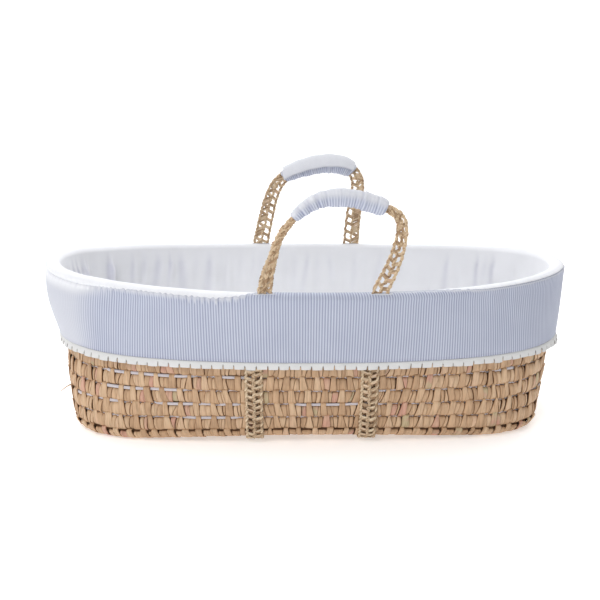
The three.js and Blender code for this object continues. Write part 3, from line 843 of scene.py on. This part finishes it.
def make_lining():
    columns = 1500
    s = np.linspace(0, RIM_RING.length, columns, endpoint=False)
    t = RIM_RING.angle(s)
    x = wall(t, 0.01, WALL_TOP)[:, 0]
    seam, crisp = seam_angle(x, t), crispness(x)
    length = RIM_RING.length
    sections, edges = [], []

    def put(points, edge=0.0):
        sections.append(points)
        edges.append(np.broadcast_to(edge, (columns,)))

    folds = wave_noise(s, length, 5, ((11, 0.7), (19, 1.0), (37, 0.6)))
    fine = wave_noise(s, length, 6, ((80, 1.0), (140, 0.8)))
    rng = np.random.default_rng(14)
    far = np.flatnonzero(t > 0)[::-1]
    deep = np.interp([-0.35, -0.262, -0.222, -0.168, 0.02, 0.285, 0.334, 0.36], x[far], s[far])
    at_end = s[np.argmin(x)] + rng.normal(0, 0.09, 26)
    spots = np.concatenate([deep, at_end % length, rng.uniform(0, length, 60)])

    def draw(*ranges):
        """A value for each crease: the deep ones on the far side, those at the foot end, the faint ones."""
        return np.concatenate([rng.uniform(*span, count) for span, count in zip(ranges, (len(deep), 26, 60))])

    tall = draw((0.0022, 0.0036), (0.0022, 0.0050), (0.0004, 0.0015))
    wide = draw((0.006, 0.010), (0.003, 0.007), (0.004, 0.010))
    reach = draw((0.07, 0.11), (0.05, 0.10), (0.03, 0.08))
    slant = rng.normal(0, 0.12, len(spots))

    def creases(z):
        """Soft upright creases that hang from the rim: their push in, and beside each a valley value for painted
        shade.
        """
        down = WALL_TOP - z
        offset = (s[:, None] - spots - slant * down + length / 2) % length - length / 2
        spread = wide * (1 + down / 0.1)
        fade = tall * np.exp(-(down / reach) ** 2)
        valley = (fade * np.exp(-((offset - 1.1 * spread) / (0.6 * spread)) ** 2)).sum(1)
        return (fade * np.exp(-(offset / spread) ** 2)).sum(1), np.clip(valley / 0.0042, 0, 1)

    for z in np.linspace(0.0106, 0.216, 30):
        free = smooth((z - 0.045) / 0.05) * smooth((WALL_TOP - z) / 0.03)
        slack = wave_noise(s, length, 7 + int(z * 20), ((5, 1.0), (9, 0.6)))
        ridge, valley = creases(z)
        shown = smooth((z - 0.05) / 0.04)
        out = PAD_IN + 0.0004 - free * (0.0024 * folds + 0.0008 * slack + 0.0003 * fine) - shown * ridge
        top = 1 - smooth((z - 0.2) / 0.022)
        # Painted shade on one side of each crease, fading out near the top.
        put(pairs(out * top + (1 - top) * -0.0135, z), 0.5 * shown * (1 - smooth((z - 0.21) / 0.012)) * valley)
    lumps = wave_noise(s, length, 12, ((6, 1.0), (13, 0.8), (29, 0.5)))
    lumps *= 0.0007 + 0.0008 * smooth((-0.3 - x) / 0.06)
    pucker = wave_noise(s, length, 13, ((150, 1.0), (260, 0.8), (330, 0.7)))
    for share in np.linspace(0, 1, 20):
        angle = math.pi + (seam - math.pi) * share
        near_seam = np.exp(-(1 - share) * (math.pi - seam) * 0.0115 / 0.006)
        bead = 0.0006 * crisp * smooth((share - 0.93) / 0.05)
        grow = lumps * math.sin(math.pi * min(share * 1.2, 1)) + 0.00035 * pucker * near_seam + bead
        # Painted shade in the hollows of the puckers beside the seam.
        put(on_roll(angle, grow), 0.35 * near_seam * np.clip(-pucker, 0, 1))
    # Painted shade: a dark line in the seam's groove, as dark as the seam is crisp.
    put(on_roll(seam - 0.10, -0.0004 - 0.0007 * crisp), 0.9 * crisp)
    # Painted shade, full, on the lining where it runs on under the skirt and down behind the pad.
    for drop in (0.3, 0.9, 1.6):
        put(on_roll(np.maximum(seam - drop, -1.3), -0.0026), 1.0)
    for out, z in ((-0.0035, 0.2252), *((-0.0073, z) for z in (0.2225, 0.17, 0.11, 0.05, 0.0106))):
        put(np.broadcast_to((out, z), (columns, 2)), 1.0)
    points = np.stack(sections, 1)
    build = Builder()
    closed_ring(build, t, points, 0.5, np.stack(edges, 1), pairs(s[:, None], run(points)))
    lining = build.finish("padded_lining", LINING, "basket", "white_lining", "liner_wall_pad", "rim_roll")


def make_skirt():
    columns = 2300
    length = HEM_RING.length
    s = np.linspace(0, length, columns, endpoint=False)
    t = HEM_RING.angle(s)
    x = wall(t, SKIRT_OUT, 0.2)[:, 0]
    crisp = crispness(x)
    seam = seam_angle(x, t) - 0.02 + 0.16 * (1 - crisp)
    pucker = wave_noise(s, length, 21, ((210, 1.0), (310, 1.0), (400, 0.9)))
    pucker *= 0.75 + 0.4 * wave_noise(s, length, 25, ((5, 1), (12, 1)))
    pucker *= (1 - 0.85 * smooth((x - 0.15) / 0.1)) * (1 - 0.8 * smooth((-0.27 - x) / 0.07))
    crease = wave_noise(s, length, 22, ((60, 1.0), (110, 0.7)))
    broad = wave_noise(s, length, 23, ((7, 1.0), (15, 0.8), (27, 0.5)))
    wobble = 0.0004 * wave_noise(s, length, 24, ((21, 1.0), (44, 0.7)))
    folded = np.minimum(seam, 0)
    side_out, side_z = on_roll(folded).T
    lip = 0.0006 + 0.0004 * (1 - crisp)
    outer = [on_roll(seam + (folded - seam) * share, lip) for share in np.linspace(0, 1, 9)]
    for share in np.linspace(0, 1, 30)[1:]:
        z = side_z + (SKIRT_BOTTOM + 0.0004 - side_z) * share ** 0.85
        fall = smooth((side_z - z) / 0.012)
        outer.append(pairs(side_out + 0.0006 + (SKIRT_OUT - 0.0003 - side_out) * fall, z))
    outer = np.stack(outer, 1)
    down = run(outer)
    up = down[:, -1:] - down
    # From here on, a value that changes round the skirt is a column, and down runs along its rows.
    x, crisp, pucker, crease, broad, wobble = (v[:, None] for v in (x, crisp, pucker, crease, broad, wobble))
    push = 0.0013 * pucker * np.exp(-down / 0.008) + 0.0006 * crease * np.exp(-down / 0.03)
    push += 0.0009 * broad * smooth(down / 0.03) * (1 - 0.7 * np.exp(-up / 0.006))
    push += 0.0045 * smooth((-x - 0.3) / 0.06) * np.sin(math.pi * down / down[:, -1:])
    push -= 0.0016 * (crisp * np.exp(-down / 0.0012) + smooth((-0.22 - x) / 0.1) * np.exp(-down / 0.003))
    inner = outer - (0.0018, 0)
    outer[..., 0] += push
    # Painted shade in the hollows of the puckers below the seam, and a dark line along the seam's groove.
    edge = 1.2 * np.clip(-pucker, 0, 1) * np.exp(-down / 0.008) + 1.3 * crisp * np.exp(-down / 0.0009)
    ragged = 0.0045 + 0.0035 * pucker + 0.0015 * crease
    soft = np.interp(x, [-0.10, -0.07, 0.09, 0.13, 0.22, 0.27], [1, 0, 0, 0.75, 0.75, 0.1])
    # Painted light: at the foot end the stripes fade to the plain colour, washed out on the lit end. Along the
    # seam, away from the stretch between the handles, they also fade to it in a ragged band.
    plain = 0.8 * smooth((-0.30 - x) / 0.05) + soft * smooth((ragged - down) / 0.004 + 0.5)
    # Painted highlight: a thin plain line just below the seam, scaled by crisp, where the fold's edge catches the
    # light.
    plain = np.clip(plain + crisp * np.exp(-((down - 0.0024) / 0.0009) ** 2), 0, 1)
    # Painted light: at the foot end the stripes near the seam fade to plain as well.
    plain += smooth((-0.27 - x) / 0.06) * smooth(1 - (down - 0.004) / 0.016)
    stitches, stripes = round(length / 0.0034), round(length / STRIPE)
    # A dotted dark line along the hem's seam: the stitches' own darker colour, and painted shade in the seam.
    dots = 0.5 + 0.5 * np.sin(2 * math.pi * s * stitches / length)[:, None]
    edge += (0.35 + 0.65 * dots) * np.exp(-((up - 0.0012) / 0.0012) ** 2)
    # Painted shade, full, on the skirt's inner face; its top row gets the seam's dark line, scaled by crisp.
    hidden = np.ones_like(edge)
    hidden[:, -1:] = crisp
    u = (s * stripes * STRIPE / length)[:, None] + wobble * smooth(down / 0.05)
    build = Builder()
    closed_ring(build, t, np.concatenate([outer, inner[:, ::-1]], 1), both(plain),
                np.concatenate([np.clip(edge, 0, 1), hidden], 1), pairs(both(u), both(down)))
    skirt = build.finish("striped_skirt", STRIPES, "basket", "striped_cotton", "outer_skirt")


def make_frill():
    length = HEM_RING.length
    pleats = round(length / PLEAT)
    spots = np.array([0, 0.045, 0.068, 0.085, 0.16, 0.3, 0.5, 0.7, 0.84, 0.915, 0.932, 0.955])
    notch = np.array([1, 0.85, 0.1, 0, 0, 0, 0, 0, 0, 0, 0.1, 0.85])
    rng = np.random.default_rng(31)
    starts = (np.arange(pleats) + rng.normal(0, 0.035, pleats)) * length / pleats
    ends = np.concatenate([starts[1:], [starts[0] + length]])
    s = (starts[:, None] + (ends - starts)[:, None] * spots).ravel()
    depth = (0.0052 * notch * rng.uniform(0.4, 1.2, pleats)[:, None]).ravel()
    crown = np.sin(math.pi * spots)[None] * rng.uniform(0.5, 1.3, pleats)[:, None]
    tilt = (spots - 0.5)[None] * rng.normal(0, 0.7, pleats)[:, None]
    ruffle = (crown + tilt).ravel() * 0.0011
    t = HEM_RING.angle(s)
    x = wall(t, SKIRT_OUT, SKIRT_BOTTOM)[:, 0]
    loose = 0.0035 * smooth((x - 0.33) / 0.05) * (0.6 + 0.4 * np.sin(s * 90))
    bottom = TRIM_BOTTOM + depth + np.repeat(rng.normal(0, 0.0004, pleats), len(spots))
    front, edges = [], []
    for share in (0, 0.12, 0.3, 0.5, 0.65, 0.8, 0.92, 1.0):
        z = SKIRT_BOTTOM + 0.0006 + (bottom - SKIRT_BOTTOM - 0.0006) * share
        out = SKIRT_OUT - 0.0012 + 0.0014 * smooth(share / 0.3) + (ruffle + loose + 0.0006) * share
        front.append(pairs(out, z))
        # Painted shadow: dark in the notches towards the bottom, and half dark along the top row, under the
        # skirt's hem.
        edges.append(np.tile(notch, pleats) * smooth((share - 0.62) / 0.3) + (0 if share else 0.5))
    front = np.stack(front, 1)
    points = np.concatenate([front, front[:, ::-1] - (0.0009, 0)], 1)
    build = Builder()
    closed_ring(build, t, points, 0.5, both(np.stack(edges, 1)), pairs(s[:, None], points[..., 1]))
    frill = build.finish("notched_frill", TRIM, "basket", "trim", "hem_frill")


def make_slit_lips():
    for side, y_sign in (("near", -1), ("far", 1)):
        for end, band in BANDS.items():
            line, x = outside_line(band["x"], band[side]), band[side]
            y = y_sign * (line[-1, 1] + 0.0026)
            z = float(line[-2, 2]) + 0.0155
            turn, lip = circle(40), circle(8)
            loop = pairs(0.0150 * np.sign(np.cos(turn)) * np.abs(np.cos(turn)) ** 0.4,
                         0.0038 * np.sign(np.sin(turn)) * np.abs(np.sin(turn)) ** 0.4)
            swell = (0.0012 + 0.0004 * np.sin(turn * 5 + x * 100))[:, None]
            flat = loop[:, None] + unit(loop)[:, None] * (swell * np.cos(lip))[..., None]
            points = np.concatenate([flat + (x, y), (z + swell * np.sin(lip))[..., None]], -1)
            build = Builder()
            build.grid(points, 1.0, 0.0, points[..., :2])
            build.finish(f"slit_lip_{side}_{end}", STRIPES, "basket", "trim", f"slit_binding_{side}_{end}")


# ---- The mattress, and the liner's floor under it ----
def mattress_ring(inset, count):
    x, y = outline(circle(count), MATTRESS_HALF[0] - inset, MATTRESS_HALF[1] - inset, MATTRESS_HALF[2])
    return pairs(x, y * (1 + HEAD_TAPER * x / RIM_HALF[0]))


def make_mattress():
    count = 320
    middle = MATTRESS_Z + MATTRESS_THICK / 2
    loops = []

    def put(flat, z):
        loops.append(np.concatenate([flat, np.broadcast_to(z, (count,))[:, None]], 1))

    def quilt(flat):
        """Shallow dimples in a diamond pattern."""
        a, b = (flat[:, 0] + flat[:, 1]) / 0.09, (flat[:, 0] - flat[:, 1]) / 0.09
        return 0.0014 * (np.abs(np.sin(math.pi * a)) * np.abs(np.sin(math.pi * b))) ** 0.5

    shares = np.append(np.linspace(0.01, 0.9, 30), [0.95, 0.98])
    for share in shares:
        flat = mattress_ring(0.004, count) * share
        put(flat, MATTRESS_Z + 0.0016 - quilt(flat))
    for turn in np.linspace(-math.pi / 2, math.pi / 2, 15):
        pinch = 0.0022 * math.exp(-(turn / 0.22) ** 2)
        put(mattress_ring(0.0075 * (1 - math.cos(turn)) + pinch + 0.0008, count),
            middle + (MATTRESS_THICK / 2 - 0.0004) * math.sin(turn))
    for share in shares[::-1]:
        flat = mattress_ring(0.004, count) * share
        put(flat, MATTRESS_Z + MATTRESS_THICK - 0.0026 + quilt(flat) + 0.0012 * (1 - share))
    points = np.stack(loops)
    build = Builder()
    build.grid(points, 0.5, 0.0, points[..., :2], closed=False)
    for row, flip in ((0, True), (-1, False)):
        cap = np.vstack([points[row], points[row].mean(0)])
        build.add(cap, fan(np.arange(count), count, flip), uv=cap[:, :2])
    mattress = build.finish("quilted_mattress", QUILT, "mattress", "mattress_cover",
                            "mattress_cover_base", "mattress_cover_top", "mattress_core")
    # The zip round the side, with its teeth and its pull at the foot end.
    section = [(0.0008, -0.003), (-0.0004, -0.003), (-0.0009, -0.0006), (-0.0015, 0.0), (-0.0009, 0.0006),
               (-0.0004, 0.003), (0.0008, 0.003)]
    ring = np.stack([np.insert(mattress_ring(inset, count), 2, middle + z, axis=1) for inset, z in section], 1)
    build = Builder()
    build.grid(ring, uv=pairs(run(ring[:, 0])[:, None], np.arange(len(section)) * 0.001))
    pull = mattress_ring(0, count)[count // 2 + 6]
    hang = (pull[0] - 0.0022, pull[1], middle + 0.001) + np.linspace(0, 1, 6)[:, None] * (-0.0006, 0.0, -0.011)
    build.tube(hang, (0.0011, 0.0012, 0.0014, 0.0016, 0.0016, 0.001), (0, 1, 0), 8)
    build.finish("mattress_zip_tape", TAPE, "mattress", "zip", "mattress_zip")


make_basket()
make_underside()
make_straw()
make_bands()
make_handle_plaits()
make_grips()
make_flap()
make_lining()
make_skirt()
make_frill()
make_slit_lips()
make_mattress()

# The CAD parts that stay: the turns hidden by the skirt, and the liner's floor. The turns take the dark palm_shade
# as painted shade, which also darkens the frill's notches.
STAYING = {f"wall_turn_{k:02d}": PALM_SHADE for k in range(7, 11)} | {"liner_floor": LINING}
for node_name, material in STAYING.items():
    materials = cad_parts[node_name].data.materials
    materials.clear()
    materials.append(material)


# ---- Floor, light and camera ----
def lit_paper(name, glow, roughness, **place):
    """A large sheet of glowing paper that isn't part of the object."""
    bpy.ops.mesh.primitive_plane_add(size=60, **place)
    sheet = bpy.context.object
    sheet.name = name
    paper = bpy.data.materials.new(f"{name}_paper")
    paper.use_nodes = True
    for key, value in (("Base Color", (0.9, 0.9, 0.9, 1)), ("Roughness", roughness), ("Emission Color", WHITE),
                       ("Emission Strength", glow)):
        paper.node_tree.nodes["Principled BSDF"].inputs[key].default_value = value
    sheet.data.materials.append(paper)


def stand(name, data, spot, direction):
    thing = bpy.data.objects.new(name, data)
    thing.location = spot
    thing.rotation_euler = direction.to_track_quat("-Z", "Y").to_euler()
    bpy.context.scene.collection.objects.link(thing)
    return thing


def make_stage():
    scene = bpy.context.scene
    lit_paper("floor", 0.42, 0.9, location=(0, 0, 0))
    lit_paper("backdrop", 1.1, 0.5, location=(0, 12, 0), rotation=(math.pi / 2, 0, 0))
    scene.world = bpy.data.worlds.new("studio")
    scene.world.use_nodes = True
    background = scene.world.node_tree.nodes["Background"]
    background.inputs["Color"].default_value = WHITE
    background.inputs["Strength"].default_value = 0.2
    aim = Vector((0, 0, 0.15))
    for name, spot, size, watts in (
            ("key", (-1.0, -2.4, 2.4), 1.6, 29), ("fill", (-0.8, -0.9, 1.3), 0.8, 3.4),
            ("side", (-2.6, -0.6, 0.9), 1.4, 2.6), ("top", (0.0, -0.2, 2.8), 2.4, 27),
            ("rear_left", (-1.6, 1.8, 2.0), 1.6, 11), ("rear_right", (1.6, 1.8, 2.0), 1.6, 13)):
        light = bpy.data.lights.new(name, "AREA")
        light.shape = "DISK"
        light.size = size
        light.energy = watts
        stand(name, light, spot, aim - Vector(spot))
    camera = bpy.data.cameras.new("camera")
    camera.lens = 52.39
    camera.sensor_width = 36
    scene.camera = stand("camera", camera, (-0.0487, -1.3837, 0.5047), Vector((0.02783, 0.97353, -0.22686)))
    scene.view_settings.view_transform = "Standard"


make_stage()
